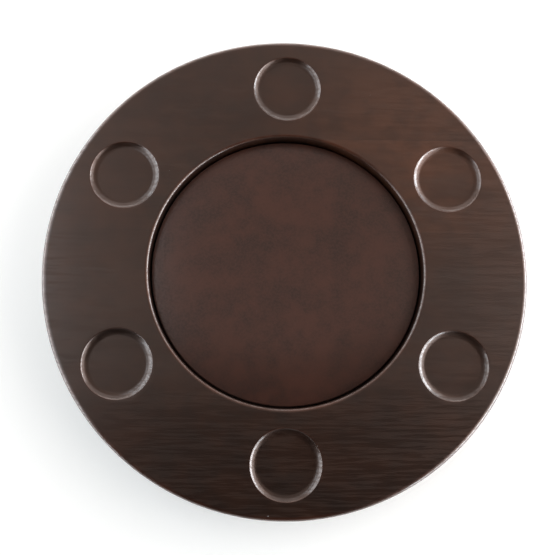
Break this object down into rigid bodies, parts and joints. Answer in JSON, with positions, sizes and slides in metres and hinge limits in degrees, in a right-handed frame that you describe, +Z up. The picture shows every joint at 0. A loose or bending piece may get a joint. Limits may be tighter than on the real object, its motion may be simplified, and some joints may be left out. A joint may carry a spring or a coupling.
{
  "type": "revolving cup tray",
  "caption": "Round espresso-stained wooden ring with shallow cup wells, turning on a ball ring bearing around a sunken fixed centre disc on a footed base.",
  "frame": {"origin": "centre of the tray's axis in the plane that the feet stand on", "axes": "+Z up along the turning axis; +X to the right and +Y away, midway between two cup wells along +X at rest"},
  "size_m": [0.4572, 0.4572, 0.0497],
  "materials": {
    "espresso_wood": "espresso stain under satin lacquer",
    "disc_board": "stained board under satin lacquer",
    "base_board": "stained board, thin matt coat",
    "race_metal": "rolled, satin",
    "ball_steel": "polished bearing steel",
    "screw_steel": "zinc plated",
    "cage_nylon": "natural nylon",
    "foot_rubber": "moulded, matt"
  },
  "bodies": {
    "base": {"base_board": "base_board", "centre_disc": "disc_board", "inner_race": "race_metal", "race_screw_1": "screw_steel", "race_screw_2": "screw_steel", "race_screw_3": "screw_steel", "race_screw_4": "screw_steel", "race_screw_5": "screw_steel", "race_screw_6": "screw_steel", "disc_screw_1": "screw_steel", "disc_screw_2": "screw_steel", "disc_screw_3": "screw_steel", "disc_screw_4": "screw_steel", "foot_1": "foot_rubber", "foot_2": "foot_rubber", "foot_3": "foot_rubber", "foot_4": "foot_rubber", "foot_5": "foot_rubber", "foot_6": "foot_rubber", "foot_screw_1": "screw_steel", "foot_screw_2": "screw_steel", "foot_screw_3": "screw_steel", "foot_screw_4": "screw_steel", "foot_screw_5": "screw_steel", "foot_screw_6": "screw_steel"},
    "tray": {"tray_ring": "espresso_wood", "outer_race": "race_metal", "tray_screw_1": "screw_steel", "tray_screw_2": "screw_steel", "tray_screw_3": "screw_steel", "tray_screw_4": "screw_steel", "tray_screw_5": "screw_steel", "tray_screw_6": "screw_steel"},
    "ball_set": {"ball_cage": "cage_nylon", "ball_1": "ball_steel", "ball_2": "ball_steel", "ball_3": "ball_steel", "ball_4": "ball_steel", "ball_5": "ball_steel", "ball_6": "ball_steel", "ball_7": "ball_steel", "ball_8": "ball_steel", "ball_9": "ball_steel", "ball_10": "ball_steel", "ball_11": "ball_steel", "ball_12": "ball_steel", "ball_13": "ball_steel", "ball_14": "ball_steel", "ball_15": "ball_steel", "ball_16": "ball_steel", "ball_17": "ball_steel", "ball_18": "ball_steel", "ball_19": "ball_steel", "ball_20": "ball_steel", "ball_21": "ball_steel", "ball_22": "ball_steel", "ball_23": "ball_steel", "ball_24": "ball_steel"}
  },
  "joints": [
    {"name": "tray_spin", "type": "hinge", "parent": "base", "child": "tray", "pos_m": [0, 0, 0.0249], "axis": [0, 0, 1], "continuous": true},
    {"name": "ball_roll", "type": "hinge", "parent": "base", "child": "ball_set", "pos_m": [0, 0, 0.0249], "axis": [0, 0, 1], "continuous": true}
  ],
  "couplings": [
    {"joint": "ball_roll", "follows": "tray_spin", "ratio": 0.5082}
  ]
}
